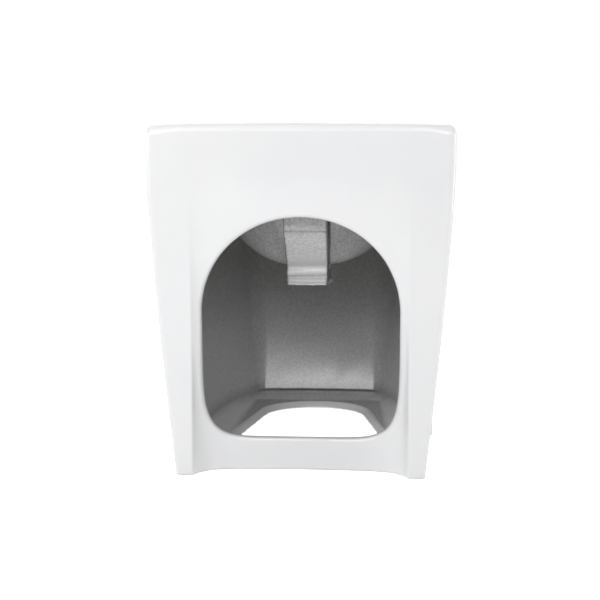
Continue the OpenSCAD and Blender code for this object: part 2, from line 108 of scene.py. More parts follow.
# Added so that nothing is divided by zero, and how far a look-up stays below the end of its table
tiny, tiny_power, nudge = 1e-9, 1e-12, 1e-6
last_row = 1.001


# Blends and ramps

def mix(a, b, t):
    return a + (b - a) * t


def rise(value, start, length):
    """0 up to start, and 1 from start + length on."""
    return np.clip((value - start) / length, 0, 1)


def fall(value, end, length):
    """1 up to end - length, and 0 from end on."""
    return np.clip((end - value) / length, 0, 1)


def hump(value, width):
    """1 where the value is 0, fading out to both sides."""
    return np.exp(-(value / width) ** 2)


def between(value, low, high):
    return (value > low) & (value < high)


def slab(value, low, t):
    """Distance from a layer of thickness t that starts at low, below zero inside."""
    return np.abs(value - low - t / 2) - t / 2


def both(a, b, r):
    """Intersection with an edge of radius r."""
    return np.minimum(-r, np.maximum(a, b)) + np.hypot(np.maximum(r + a, 0), np.maximum(r + b, 0))


def either(a, b, r):
    """Union with a fillet of radius r."""
    return np.maximum(r, np.minimum(a, b)) - np.hypot(np.maximum(r - a, 0), np.maximum(r - b, 0))


def unit(v):
    return v / np.linalg.norm(v)


def cell_of(place, rows):
    """Row of a table at or below a place, and the share of the way to the next row."""
    place = np.clip(place, 0, rows - last_row)
    row = np.floor(place).astype(int)
    return row, place - row


# Outline of the body

# How much thicker the front wall is at the floor, and the height by which most of that is gone
front_more_t, front_more_h = 5.5, 95
# Radius of the hollow's upright front corners at the rim and at the floor
hollow_rim_r, hollow_base_r = 46.0, 12.0
# Points on each rounded stretch, and the rough gap between points
round_n, outline_gap = (16, 24, 40, 41), 1.5
# The outline's reach is kept for directions from the middle, at levels
middle_d, level_gap = 250.0, 4.0
turns = np.linspace(0, math.pi, 2001)
levels = np.arange(0, body_h + 2 * level_gap, level_gap)


def taper(z):
    """Share of the way from the rim's outline to the floor's."""
    return max(0.0, (band_z - max(z, foot_t)) / (band_z - foot_t)) ** taper_curve


def front_lean(z):
    """Shift of the hollow's front face, which is thicker at the floor."""
    return -front_more_t * math.exp(-(z / front_more_h) ** 2)


def body_corners(z, forward=0.0):
    t = taper(z)
    front_x = mix(rim_front_w, base_front_w, t) / 2
    lift = front_r * (1 / math.cos(math.atan(front_crown / front_x)) - 1)
    front = mix(body_d, base_d, t) + lift + forward
    points = [(0, 0), (mix(rear_w, base_rear_w, t) / 2, 0), (mix(rim_w, base_w, t) / 2, widest_d),
              (front_x, front - front_crown), (0, front), (-front_x, front - front_crown)]
    return [np.array(p, float) for p in points]


def arms(a, p, b):
    """Directions from p to a and to b, and half the angle between them."""
    u, v = unit(a - p), unit(b - p)
    return u, v, math.acos(np.clip(u @ v, -1, 1)) / 2


def inset_corner(a, p, b, t):
    u, v, half = arms(a, p, b)
    return p + unit(u + v) * t / math.sin(half)


def round_corner(a, p, b, r, n):
    u, v, half = arms(a, p, b)
    mid = p + unit(u + v) * r / math.sin(half)
    start = p + u * r / math.tan(half) - mid
    turn = (-1 if u[0] * v[1] - u[1] * v[0] > 0 else 1) * (math.pi - 2 * half)
    angle = math.atan2(start[1], start[0]) + turn * np.linspace(0, 1, n)
    return mid + r * np.c_[np.cos(angle), np.sin(angle)]


def half_outline(z, t, corner_r=None):
    """Points from the rear's middle to the front's, set in by t. A corner_r is the hollow's."""
    c = body_corners(z, front_lean(z) if corner_r else 0.0)
    p = [np.array([0, t])] + [inset_corner(c[i - 1], c[i], c[i + 1], t) for i in range(1, 5)]
    p.append(p[3] * [-1, 1])
    corner_r = corner_r or mix(rim_corner_r, base_corner_r, taper(z)) - t
    radii = max(edge_r - t, least_r), side_r - t, corner_r, front_r - t
    rounds = [round_corner(*p[i:i + 3], r, round_n[i]) for i, r in enumerate(radii)]
    points = np.concatenate([p[:1], *rounds[:3], rounds[3][:round_n[3] // 2 + 1]])
    dense = [points[:1]]
    for a, b in zip(points[:-1], points[1:]):
        n = max(1, int(np.linalg.norm(b - a) / outline_gap))
        dense.append(a + (b - a) * (np.arange(1, n + 1) / n)[:, None])
    return np.concatenate(dense)


def outline_table(t):
    """The outline's reach at each level and direction, and how square the outline stands to it."""
    reach = []
    for z in levels:
        p = half_outline(z, t, mix(hollow_rim_r, hollow_base_r, taper(z)) if t else None)
        angle = np.arctan2(p[:, 0], middle_d - p[:, 1])
        reach.append(np.interp(turns, angle, np.hypot(p[:, 0], middle_d - p[:, 1])))
    reach = np.array(reach)
    slope = np.gradient(reach, turns[1], axis=1)
    return reach, reach / np.hypot(reach, slope)


tables = {0: outline_table(0), wall_t: outline_table(wall_t)}


def side_x(z, d):
    p = half_outline(z, 0)
    rear = p[p[:, 1] < widest_d]
    return float(np.interp(d, rear[:, 1], rear[:, 0]))


cap_seat_x = side_x(fixing_z, fixing_from_wall) - cap_seat


def outline_field(x, d, z, t):
    """Distance from the outline at height z that is set in by t, below zero inside."""
    reach, lean = tables[t]
    r = np.hypot(x, middle_d - d)
    angle = np.arctan2(np.abs(x), middle_d - d) / turns[1]
    j = np.minimum(angle.astype(int), len(turns) - 2)
    u = angle - j
    i, v = cell_of(z / level_gap, len(levels))

    def look(table):
        low = table[i, j] * (1 - u) + table[i, j + 1] * u
        high = table[i + 1, j] * (1 - u) + table[i + 1, j + 1] * u
        return low * (1 - v) + high * v

    return (r - look(reach)) * look(lean)


# Bowl

# Grid in mm of the bowl's table in plan, and where it ends
cell, plan_x, plan_low_d, plan_high_d = 1.0, 190, -8, 560
# A place's share is found by halving the range up to this share so many times
far_share, halvings = 2.5, 26
least_slope = 1e-3


def share_table(t):
    """For each place in plan, the share of the way from the waste to the bowl's outline."""
    x = np.arange(0, plan_x, cell)[:, None]
    d = np.arange(plan_low_d, plan_high_d, cell)[None, :]
    a, b = bowl_w / 2 + t, (body_d - front_rim_w - deck_d) / 2 + t
    low = np.zeros(np.broadcast(x, d).shape)
    high = np.full(low.shape, far_share)
    for _ in range(halvings):
        s = (low + high) / 2
        dy = d - mix(waste_from_wall, bowl_mid_d, s)
        r = np.hypot(x, dy) + tiny
        power = (x / a) ** bowl_square + (np.abs(dy) / b) ** bowl_square + tiny_power
        ring = r / power ** (1 / bowl_square)
        inside = r < boss_r + (ring - boss_r) * s
        high = np.where(inside, s, high)
        low = np.where(inside, low, s)
    s = (low + high) / 2
    s = np.where(np.hypot(x, d - waste_from_wall) < boss_r, 0, s)
    gx, gd = np.gradient(s, cell)
    return s, np.hypot(gx, gd)


shares = {0: share_table(0), wall_t: share_table(wall_t)}


def plan(table, x, d):
    i, u = cell_of(np.abs(x) / cell, table.shape[0])
    j, v = cell_of((d - plan_low_d) / cell, table.shape[1])
    return ((table[i, j] * (1 - v) + table[i, j + 1] * v) * (1 - u)
            + (table[i + 1, j] * (1 - v) + table[i + 1, j + 1] * v) * u)


def bowl_field(x, d, z, t):
    """Distance from the bowl's inner face, t = 0, or from its underside, t = wall_t, below zero inside."""
    s, rate = plan(shares[t][0], x, d), plan(shares[t][1], x, d)
    rise_h = rim_z - bowl_floor_z + t / 2
    c = np.maximum(0, (rim_z - z) / rise_h)
    e = np.hypot(c, s) + tiny
    slope = np.hypot(c / rise_h, s * rate) / e
    return (e - 1) / np.maximum(slope, least_slope)


# Recess, service opening and floor opening

# The recess starts outside its width, no steeper than this, and deepens on a curve of this length
recess_edge, recess_steep, recess_curve_l, recess_blend = 1, 2.4, 11, 0.8
# The floor opening narrows from this depth on. Its front corners are rounder than in the CAD source
narrow_d, narrow_slope, narrow_blend = 195, 0.177, 12
floor_more_d, floor_corner_r = 2.5, 50
# The bay for a bracket ends this far inside the end of the bracket's boss
bay_x = boss_end_x - 5.5
far_inside = -200


def recess(x, z):
    """Depth of the rear panel's recess."""
    down = np.maximum(0, (recess_top - z) / recess_top) ** recess_curve
    floor = recess_d * down * (1 - recess_bow * (2 * x / recess_w) ** 2)
    across = recess_w / 2 + recess_edge - np.abs(x)
    curve = floor * (1 - np.exp(-np.maximum(across, 0) / recess_curve_l))
    lesser = -recess_blend * np.logaddexp(-curve / recess_blend, -recess_steep * across / recess_blend)
    return np.maximum(0, lesser)


def super_field(x, y, a, b, n):
    """Distance from a superellipse, below zero inside."""
    u, v = np.abs(x) / a + nudge, np.abs(y) / b + nudge
    g = (u ** n + v ** n) ** (1 / n)
    slope = g ** (1 - n) * np.hypot(u ** (n - 1) / a, v ** (n - 1) / b)
    return np.maximum((g - 1) / slope, far_inside)


def opening_field(x, z):
    up = super_field(x, z - opening_waist, opening_w / 2, opening_top - opening_waist, opening_arch)
    low = super_field(x, z - opening_waist, opening_w / 2, opening_waist - opening_bottom, opening_square)
    return np.where(z > opening_waist, up, low)


def floor_field(x, d):
    narrower = narrow_slope * np.logaddexp((d - narrow_d) / narrow_blend, 0) * narrow_blend
    front = both(np.abs(x) - floor_w / 2 + narrower, d - floor_front_d - floor_more_d, floor_corner_r)
    back = super_field(x, d - floor_waist_d, floor_w / 2, floor_waist_d - floor_back_d, floor_square)
    bay = np.maximum(np.abs(x) - bay_x, np.abs(d - fixing_from_wall) - bracket_w / 2 - bay_gap)
    return np.minimum(np.where(d > floor_waist_d, front, back), bay)


# The hollow under the bowl, and what stands in it

# Height of the cast faces' unevenness, and the radii where the hollow's faces meet
wave_h, hollow_edge_r, hollow_top_r = 0.45, 8, 12


def wave(x, d, z):
    """Slow unevenness of the rough cast faces, from -1 to 1."""
    return (0.5 * np.sin(x / 23 + 1.3) * np.sin(z / 29 + d / 61 + 0.7)
            + 0.3 * np.sin(d / 17 + 2.1) * np.sin(z / 13 + x / 41)
            + 0.2 * np.sin(x / 7.1 + z / 9.3) * np.sin(d / 8.7 + 0.4))


def cavity_field(x, d, z):
    """Distance from the faces round the hollow under the bowl, below zero in the hollow."""
    back = recess(x, z) + wall_t - d
    return both(both(outline_field(x, d, z, wall_t), back, hollow_edge_r), z - rim_z, hollow_top_r)


# Upper face of the foot: half widths and depths of its folds, and its rise from there to the walls
fold_rear_x, fold_front_x, fold_start_d, fold_l, fold_front_d = 95, 84, 180, 258, 398
fold_blend, valley_drop, slope_h, slope_flat = 0.7, 2, 6.5, 0.5
# Bead round the floor opening, and two ridges at the front, placed from the hollow's faces
foot_bead_h, foot_bead_w, foot_bead_reach = 1.6, 5, 13
ridge_h, ridge_start_d, ridge_fade = 1.3, 422, 15
ridge_in, ridge_w, low_ridge_in, low_ridge_w, low_ridge = 9, 3, 29, 3.5, 0.7
# Slope and edge radius of the floor opening's bevelled lip
lip_slope, lip_edge_r = 0.75, 1.4


def foot_top(x, d, hollow):
    """Height of the foot's upper face: a bead round the opening, a valley, and slopes up to the walls."""
    fold_x = mix(fold_rear_x, fold_front_x, np.clip((d - fold_start_d) / fold_l, -0.5, 1.05))
    beyond = np.logaddexp((np.abs(x) - fold_x) / fold_blend, (d - fold_front_d) / fold_blend)
    out = fold_blend * np.logaddexp(beyond, 0)
    share = out / (out + np.maximum(-hollow, 0) + slope_flat)
    bead = fall(floor_field(x, d), foot_bead_reach, foot_bead_w)
    uneven = 1 + 0.25 * np.sin(x / 13 + 0.6) + 0.2 * np.sin(x / 5.3)
    front = rise(d, ridge_start_d, ridge_fade) * uneven
    ridges = hump(hollow + ridge_in, ridge_w) + low_ridge * hump(hollow + low_ridge_in, low_ridge_w)
    return (foot_t - valley_drop + slope_h * share + foot_bead_h * bead * bead * (3 - 2 * bead)
            + ridge_h * front * ridges)


def foot_field(x, d, z, hollow):
    bevel = 1 / math.hypot(1, lip_slope) * (lip_slope * z - floor_field(x, d))
    return both(z - foot_top(x, d, hollow), bevel, lip_edge_r)


# Overflow duct: the slope of its face below the kink, and how it widens and shifts at the top
duct_run, duct_fall, duct_kink_r, duct_edge_r, duct_end_r = 68.0, 50.0, 7, 2, 3
flare_z, flare_h, flare, flare_shift = 205, 60, 1.1, 1.5
# The duct ends in a heel with a bead and a lip. Each up is a height over the boss's bottom
wedge_bottom_z, wedge_edge_r = 221, 2
heel_d, heel_up, heel_edge_r, heel_fillet = 142, 4.4, 0.8, 3
bead_d, bead_up, bead_r, bead_fillet = 138.6, 20.6, 4.4, 5
bead_lean_d, bead_lean_z = 0.012, 0.03
duct_lip_d, duct_lip_up, duct_lip_edge_r, duct_lip_top_r, duct_lip_fillet = 137.6, 7.2, 1, 2.5, 2


def duct_side(x, z):
    """Distance from the duct's sides, which stand further apart and to one side at the top."""
    up = rise(z, flare_z, flare_h)
    return np.abs(x + flare_shift * up) - duct_w / 2 - flare * up


def duct_field(x, d, z):
    tilt = math.hypot(duct_run, duct_fall)
    slope = (-(d - duct_from_wall) * duct_fall - (z - duct_kink_z) * duct_run) / tilt
    wedge = both(both(duct_from_wall - d, slope, duct_kink_r), wedge_bottom_z - z, wedge_edge_r)
    bottom = boss_bottom_z + heel_up + 0.25 * np.sin(x * 0.9) + 0.3 * np.sin(x * 0.37 + 1)
    heel = both(heel_d - d, bottom - z, heel_edge_r)
    body = either(wedge, heel, heel_fillet)
    bead = np.hypot(d - bead_d + bead_lean_d * x, z - boss_bottom_z - bead_up + bead_lean_z * x) - bead_r
    body = either(body, np.maximum(bead, bottom - z), bead_fillet)
    lip = both(duct_lip_d - d, bottom - z, duct_lip_edge_r)
    lip = both(lip, z - boss_bottom_z - duct_lip_up, duct_lip_top_r)
    body = either(body, lip, duct_lip_fillet)
    body = both(body, np.maximum(z - duct_top_z, d - waste_from_wall), duct_end_r)
    body = both(body, duct_side(x, z), duct_edge_r)
    inner = np.maximum(np.maximum(duct_from_wall + duct_t - d, slope + duct_t), z - duct_top_z + duct_t)
    inner = np.maximum(inner, duct_side(x, z) + duct_t)
    inner = np.maximum(inner, boss_bottom_z + waste_lip_h + port_up - z)
    return np.maximum(body, -inner)


# Waste outlet: a ragged lip under a neck that is narrower above it
boss_bottom_up, boss_rag_z, boss_rag_r, boss_lip_more, boss_lip_r = 1.6, 0.4, 0.2, 1, 1.6
neck_in, neck_in_up, neck_in_h, neck_edge_r, neck_fillet = 2.2, 5, 6, 1, 1.5


def boss_field(x, d, z):
    r = np.hypot(x, d - waste_from_wall)
    q = np.arctan2(x, d - waste_from_wall)
    rag = 0.7 * np.sin(7 * q + 1) + 0.5 * np.sin(13 * q + 2.2) + 0.3 * np.sin(29 * q)
    bottom = boss_bottom_z + boss_bottom_up + boss_rag_z * rag
    lip_ends = np.maximum(bottom - z, z - boss_bottom_z - waste_lip_h - boss_lip_more)
    lip = both(r - boss_r + boss_rag_r * rag, lip_ends, boss_lip_r)
    narrower = neck_in * rise(z - boss_bottom_z, neck_in_up, neck_in_h)
    neck_ends = np.maximum(bottom - z, z - bowl_floor_z)
    neck = both(r - boss_r + waste_lip_t + narrower, neck_ends, neck_edge_r)
    return either(lip, neck, neck_fillet)


# The whole ceramic piece

# How much lower the rim is at its sides than in the middle
rim_crown = 2.4
# Radius of the rim's edge in the middle and at the sides, and where it changes
top_mid_r, top_side_r, top_change_x, top_change_w = 5.0, 10.0, 140, 25
foot_edge_r, bowl_fillet, part_fillet = 2.5, 12, 2.5
foot_front_fillet, foot_side_fillet, fillet_change_d, fillet_change_l = 1.5, 10, 445, 60
# Depth or height that each opening cuts through, and the radius of its edge
opening_reach, opening_edge_r = 62, 3.5
tap_reach, tap_edge_r, waste_reach, waste_edge_r = 20, 1.2, 20, 2
overflow_mid_d, overflow_l, overflow_edge_r, port_mid_d, port_l = 122, 54, 0.6, 169, 18
bore_from_x, fixing_edge_r = 120, 0.8


def outer_field(x, d, z):
    body = np.maximum(outline_field(x, d, z, 0), recess(x, z) - d)
    top_r = mix(top_mid_r, top_side_r, rise(np.abs(x), top_change_x, top_change_w))
    body = both(body, z - body_h + rim_crown * (2 * x / rear_w) ** 2, top_r)
    return both(body, -z, foot_edge_r)


def inner_field(x, d, z):
    """Distance from the rough faces under the bowl, below zero in the ceramic."""
    hollow = cavity_field(x, d, z)
    inner = either(-hollow, bowl_field(x, d, z, wall_t), bowl_fillet)
    inner = either(inner, duct_field(x, d, z), part_fillet)
    inner = either(inner, boss_field(x, d, z), part_fillet)
    fillet = mix(foot_front_fillet, foot_side_fillet, fall(d, fillet_change_d, fillet_change_l))
    inner = either(inner, foot_field(x, d, z, hollow), fillet)
    return inner + wave_h * wave(x, d, z)


def overflow_bore(x, d, z):
    """The overflow hole, and the seat of its cover."""
    r = np.hypot(x, z - overflow_z)
    hole = np.maximum(r - overflow_hole_d / 2, np.abs(d - overflow_mid_d) - overflow_l / 2)
    seat = np.maximum(r - cover_d / 2 - fit_gap, slab(d, cover_seat_d, 2 * wall_t))
    return np.minimum(hole, seat)


def port_bore(x, d, z):
    """The way from the duct into the waste outlet."""
    port = np.maximum(np.abs(x) - port_w / 2, slab(z - boss_bottom_z - waste_lip_h, port_up, port_h))
    return np.maximum(port, np.abs(d - port_mid_d) - port_l / 2)


def fixing_bore(x, d, z):
    """The holes for the side screws, and the seats of the cover caps."""
    r = np.hypot(d - fixing_from_wall, z - fixing_z)
    hole = np.maximum(r - bush_d / 2 - fit_gap, bore_from_x - np.abs(x))
    seat = np.maximum(r - cap_d / 2 - fit_gap, cap_seat_x - np.abs(x))
    return np.minimum(hole, seat)


def ceramic_field(x, d, z):
    solid = np.maximum(outer_field(x, d, z), inner_field(x, d, z))
    solid = both(solid, -bowl_field(x, d, z, 0), bowl_edge_r)
    solid = both(solid, -np.maximum(opening_field(x, z), d - opening_reach), opening_edge_r)
    tap = np.maximum(np.hypot(x, d - tap_from_wall) - tap_hole_d / 2, rim_z - tap_reach - z)
    solid = both(solid, -tap, tap_edge_r)
    waste = np.maximum(np.hypot(x, d - waste_from_wall) - waste_hole_d / 2, z - bowl_floor_z - waste_reach)
    solid = both(solid, -waste, waste_edge_r)
    solid = both(solid, -overflow_bore(x, d, z), overflow_edge_r)
    solid = np.maximum(solid, -port_bore(x, d, z))
    return both(solid, -fixing_bore(x, d, z), fixing_edge_r)


# Surface of a field

# Rounds of moving points onto the surface, the reach over which its slope is measured, and the least slope
settle_rounds, slope_reach, least_settle = 2, 0.5, 0.3


def surface_net(field, low, high, h):
    """Points and quads of the surface where the field is zero, on a grid of step h."""
    axes = [np.arange(a, b + h, h) for a, b in zip(low, high)]
    x, d = axes[0][:, None], axes[1][None, :]
    values = np.stack([field(x, d, np.full((1, 1), z)) for z in axes[2]], axis=2)
    inside = values < 0
    shape = [n - 1 for n in values.shape]
    corners = [(a, b, c) for a in (0, 1) for b in (0, 1) for c in (0, 1)]
    count = np.zeros(shape, np.int8)
    for a, b, c in corners:
        count += inside[a:a + shape[0], b:b + shape[1], c:c + shape[2]]
    mixed = (count > 0) & (count < len(corners))
    cells = np.argwhere(mixed)
    number = np.full(shape, -1, np.int64)
    number[mixed] = np.arange(len(cells))
    at = [values[tuple((cells + corner).T)] for corner in corners]
    total, hits = np.zeros((len(cells), 3)), np.zeros(len(cells))
    for p, one in enumerate(corners):
        for axis in range(3):
            if one[axis]:
                continue
            q = corners.index(tuple(v + (i == axis) for i, v in enumerate(one)))
            cross = (at[p] < 0) != (at[q] < 0)
            share = at[p][cross] / (at[p][cross] - at[q][cross])
            place = np.tile(np.array(one, float), (cross.sum(), 1))
            place[:, axis] += share
            total[cross] += place
            hits[cross] += 1
    points = np.array(low) + h * (cells + total / hits[:, None])
    faces = []
    for axis in range(3):
        u, v = [i for i in range(3) if i != axis]
        first, second = [slice(None)] * 3, [slice(None)] * 3
        first[axis], second[axis] = slice(0, -1), slice(1, None)
        edges = np.argwhere(inside[tuple(first)] != inside[tuple(second)])
        across = edges[:, [u, v]]
        edges = edges[np.all((across > 0) & (across < [shape[u], shape[v]]), axis=1)]
        one_u, one_v = np.eye(3, dtype=int)[[u, v]]
        ring = edges, edges - one_u, edges - one_u - one_v, edges - one_v
        quad = np.stack([number[tuple(place.T)] for place in ring], axis=1)
        outward = inside[tuple(edges.T)] != (axis == 1)
        quad[~outward] = quad[~outward][:, ::-1]
        faces.append(quad)
    return points, np.concatenate(faces)


def refine(points, quads, fine):
    """Splits the chosen quads in four, and gives their neighbours the new points on shared edges."""
    loop = np.sort(np.stack([quads, np.roll(quads, -1, axis=1)], axis=2).reshape(-1, 2), axis=1)
    key, edge = np.unique(loop[:, 0] * len(points) + loop[:, 1], return_inverse=True)
    edge = edge.reshape(-1, 4)
    split = np.zeros(len(key), bool)
    split[edge[fine].ravel()] = True
    middle = np.full(len(key), -1)
    middle[split] = len(points) + np.arange(split.sum())
    ends = points[key[split] // len(points)], points[key[split] % len(points)]
    centre = len(points) + split.sum() + np.arange(fine.sum())
    q, m = quads[fine], middle[edge[fine]]
    parts = [np.stack([q[:, i], m[:, i], centre, m[:, i - 1]], axis=1) for i in range(4)]
    points = np.concatenate([points, (ends[0] + ends[1]) / 2, points[q].mean(axis=1)])
    mixed = np.any(middle[edge] >= 0, axis=1) & ~fine
    groups = [np.concatenate(parts + [quads[~fine & ~mixed]])]
    neighbours = zip(quads[mixed], middle[edge[mixed]])
    rings = [[v for pair in zip(a, b) for v in pair if v >= 0] for a, b in neighbours]
    groups += [np.array([r for r in rings if len(r) == n]) for n in sorted({len(r) for r in rings})]
    return points, groups


def gradient(field, p, reach):
    g = np.empty_like(p)
    for axis in range(3):
        shift = np.zeros(3)
        shift[axis] = reach
        a, b = p + shift, p - shift
        g[:, axis] = (field(*a.T) - field(*b.T)) / (2 * reach)
    return g


def settle(field, p, h, reach=slope_reach):
    """Moves points onto the field's surface, by no more than half of h at a time."""
    for _ in range(settle_rounds):
        g = gradient(field, p, reach)
        length = np.maximum(np.linalg.norm(g, axis=1), least_settle)
        move = np.clip(field(*p.T) / length, -h / 2, h / 2)
        p = p - g / length[:, None] * move[:, None]
    return p


def add_object(name, data):
    obj = bpy.data.objects.new(name, data)
    bpy.context.scene.collection.objects.link(obj)
    return obj


def mesh_object(name, points, groups):
    """Object from points in metres and arrays of faces, one array for each number of corners."""
    mesh = bpy.data.meshes.new(name)
    loops = np.concatenate([g.ravel() for g in groups]).astype(np.int32)
    sides = np.concatenate([np.full(len(g), g.shape[1]) for g in groups]).astype(np.int32)
    mesh.vertices.add(len(points))
    mesh.vertices.foreach_set("co", points.astype(np.float32).ravel())
    mesh.loops.add(len(loops))
    mesh.loops.foreach_set("vertex_index", loops)
    mesh.polygons.add(len(sides))
    mesh.polygons.foreach_set("loop_start", (np.cumsum(sides) - sides).astype(np.int32))
    mesh.polygons.foreach_set("loop_total", sides)
    mesh.update(calc_edges=True)
    mesh.validate()
    mesh.shade_smooth()
    return add_object(name, mesh)


def to_row(p):
    """Widths, depths from the wall and heights in mm to the row frame in metres."""
    return np.c_[p[:, 0], half_d - p[:, 1], p[:, 2]] / 1000


# Material nodes

def new_material(name):
    material = bpy.data.materials.new(name)
    material.use_nodes = True
    tree = material.node_tree
    return material, tree, tree.nodes["Principled BSDF"]


def set_inputs(tree, node, values):
    """Gives a node's inputs numbers, colours or the outputs of other nodes."""
    for key, value in values.items():
        if isinstance(value, bpy.types.NodeSocket):
            tree.links.new(value, node.inputs[key])
        else:
            node.inputs[key].default_value = value


def noise(tree, scale, detail=3.0, rough=0.5):
    place = tree.nodes.new("ShaderNodeTexCoord").outputs["Object"]
    node = tree.nodes.new("ShaderNodeTexNoise")
    set_inputs(tree, node, {"Vector": place, "Scale": scale, "Detail": detail, "Roughness": rough})
    return node.outputs["Fac"]


def ramp(tree, value, stops):
    node = tree.nodes.new("ShaderNodeValToRGB")
    tree.links.new(value, node.inputs["Fac"])
    band = node.color_ramp
    while len(band.elements) < len(stops):
        band.elements.new(0.5)
    for element, (place, color) in zip(band.elements, stops):
        element.position = place
        element.color = (*color, 1)
    return node.outputs["Color"]


def spread(tree, value, low, high, to_low, to_high):
    node = tree.nodes.new("ShaderNodeMapRange")
    limits = {"From Min": low, "From Max": high, "To Min": to_low, "To Max": to_high}
    set_inputs(tree, node, {"Value": value, **limits})
    return node.outputs["Result"]


def blend(tree, factor, a, b, kind, mode="MIX"):
    """Mix of two colours, kind RGBA, or of two numbers, kind VALUE."""
    node = tree.nodes.new("ShaderNodeMix")
    node.data_type = "RGBA" if kind == "RGBA" else "FLOAT"
    node.blend_type = mode
    tree.links.new(factor, node.inputs["Factor"])
    for key, value in (("A", a), ("B", b)):
        socket = [s for s in node.inputs if s.name == key and s.type == kind][0]
        if isinstance(value, tuple):
            socket.default_value = (*value, 1)
        elif isinstance(value, float):
            socket.default_value = value
        else:
            tree.links.new(value, socket)
    return [s for s in node.outputs if s.type == kind][0]


def blend_color(tree, factor, a, b, mode="MIX"):
    return blend(tree, factor, a, b, "RGBA", mode)


def blend_value(tree, factor, a, b):
    return blend(tree, factor, a, b, "VALUE")


def bump(tree, shader, height, distance):
    node = tree.nodes.new("ShaderNodeBump")
    set_inputs(tree, node, {"Height": height, "Distance": distance})
    set_inputs(tree, shader, {"Normal": node.outputs["Normal"]})


def attribute(tree, name):
    node = tree.nodes.new("ShaderNodeAttribute")
    node.attribute_name = name
    return node.outputs["Fac"]


# Materials

# Few of a noise's values lie outside this stretch
noise_low, noise_high = 0.3, 0.7
# Tints of the glaze, of the speckled thin glaze and of its cloudy patches
glaze_tints = [(0.35, (0.775, 0.779, 0.788)), (0.65, (0.795, 0.798, 0.805))]
speck_tints = [(0.36, (0.40, 0.391, 0.379)), (0.5, (0.505, 0.498, 0.487)), (0.64, (0.625, 0.616, 0.605))]
cloud_tints = [(noise_low, (0.47, 0.463, 0.453)), (noise_high, (0.555, 0.548, 0.537))]
# White of the pooled glaze, which also paints light on the foot, and colour of the painted shade in creases
pool_and_light_color, crease_shade_color = (0.95, 0.95, 0.945), (0.16, 0.155, 0.15)
# The grit's least and most, the worn edge's roughness, the grain's depth in metres, and the glaze's index
grit_low, grit_high, worn_rough, grain_h, glaze_ior = 0.8, 1.2, 0.6, 0.00022, 1.6


def ceramic_material():
    """White gloss glaze outside, and thin grey glaze over rough cast ceramic in the hollow, with painted
    shade in its creases and painted light where its glaze is whiter.
    """
    material, tree, shader = new_material("glazed_ceramic")
    inside, crease_shade = attribute(tree, "inside"), attribute(tree, "crease_shade")
    glaze = ramp(tree, noise(tree, 9.0, 2.0), glaze_tints)
    speck = ramp(tree, noise(tree, 700.0, 2.0, 0.6), speck_tints)
    cloud = ramp(tree, noise(tree, 28.0, 3.0), cloud_tints)
    patches = spread(tree, noise(tree, 90.0, 2.0), noise_low, noise_high, 0.1, 0.5)
    # White glaze pools on the foot, and this white also paints the light that falls there
    glaze = blend_color(tree, attribute(tree, "pool_and_light"), glaze, pool_and_light_color)
    color = blend_color(tree, inside, glaze, blend_color(tree, patches, speck, cloud))
    # Painted shade in the hollow's creases and on the duct's shaded sides
    color = blend_color(tree, crease_shade, color, crease_shade_color)
    grit = spread(tree, noise(tree, 300.0, 2.5, 0.6), 0.32, 0.68, grit_low, grit_high)
    color = blend_color(tree, attribute(tree, "rough"), color, grit, "MULTIPLY")
    shine = spread(tree, noise(tree, 14.0, 2.0), noise_low, noise_high, 0.17, 0.22)
    dull = spread(tree, noise(tree, 160.0, 2.0), noise_low, noise_high, 0.1, 0.17)
    gloss = blend_value(tree, inside, shine, dull)
    gloss = blend_value(tree, attribute(tree, "worn"), gloss, worn_rough)
    smooth = spread(tree, noise(tree, 22.0, 1.0), 0.0, 1.0, 0.0, 0.12)
    grain = spread(tree, noise(tree, 430.0, 3.0, 0.6), 0.0, 1.0, 0.0, 1.0)
    bump(tree, shader, blend_value(tree, inside, smooth, grain), grain_h)
    set_inputs(tree, shader, {"Base Color": color, "Roughness": gloss, "IOR": glaze_ior})
    return material


def simple_material(name, color, dark, scales, roughness, grain, metallic=0.0):
    """Material with uneven tint, roughness and grain, each on the scale of its own noise."""
    material, tree, shader = new_material(name)
    tint_scale, rough_scale, grain_scale = scales
    stops = [(noise_low, tuple(c * dark for c in color)), (noise_high, color)]
    tints = ramp(tree, noise(tree, tint_scale), stops)
    gloss = spread(tree, noise(tree, rough_scale), noise_low, noise_high, *roughness)
    set_inputs(tree, shader, {"Base Color": tints, "Roughness": gloss, "Metallic": metallic})
    bump(tree, shader, noise(tree, grain_scale, 2.0), grain)
    return material


def plastic_material(name, color, roughness, grain):
    uneven = (roughness * 0.85, roughness * 1.15)
    return simple_material(name, color, 0.93, (60.0, 300.0, 900.0), uneven, grain)


def metal_material(name, color, roughness, grain):
    return simple_material(name, color, 0.9, (120.0, 400.0, 700.0), roughness, grain, 1.0)


ceramic = ceramic_material()
bracket_nylon = plastic_material("bracket_nylon", (0.55, 0.56, 0.57), 0.5, 0.0002)
bush_nylon = plastic_material("bush_nylon", (0.86, 0.86, 0.84), 0.42, 0.0001)
cap_plastic = plastic_material("cap_plastic", (0.92, 0.92, 0.92), 0.16, 0.00004)
chrome = metal_material("chrome", (0.85, 0.85, 0.86), (0.04, 0.08), 0.00002)
zinc_steel = metal_material("zinc_steel", (0.72, 0.73, 0.74), (0.28, 0.42), 0.00006)


# The fired ceramic piece

# Corners of the grid
grid_low, grid_high = (-180.0, -6.0, -4.5), (180.0, 546.0, 406.0)
# Where the surface is refined: the foot, the duct, the recess's sides and the bores
fine_foot_z, fine_foot_d, fine_foot_in = 32, 14, 5
fine_duct_x, fine_duct_d, fine_duct_z = 36, (60, 232), (194, 290)
fine_ramp_d, fine_ramp_x, fine_ramp_w = 45, 112, 16
fine_fixing_r, fine_tap_r, fine_tap_z, fine_overflow_r, fine_overflow_d = 18, 24, 360, 20, 150


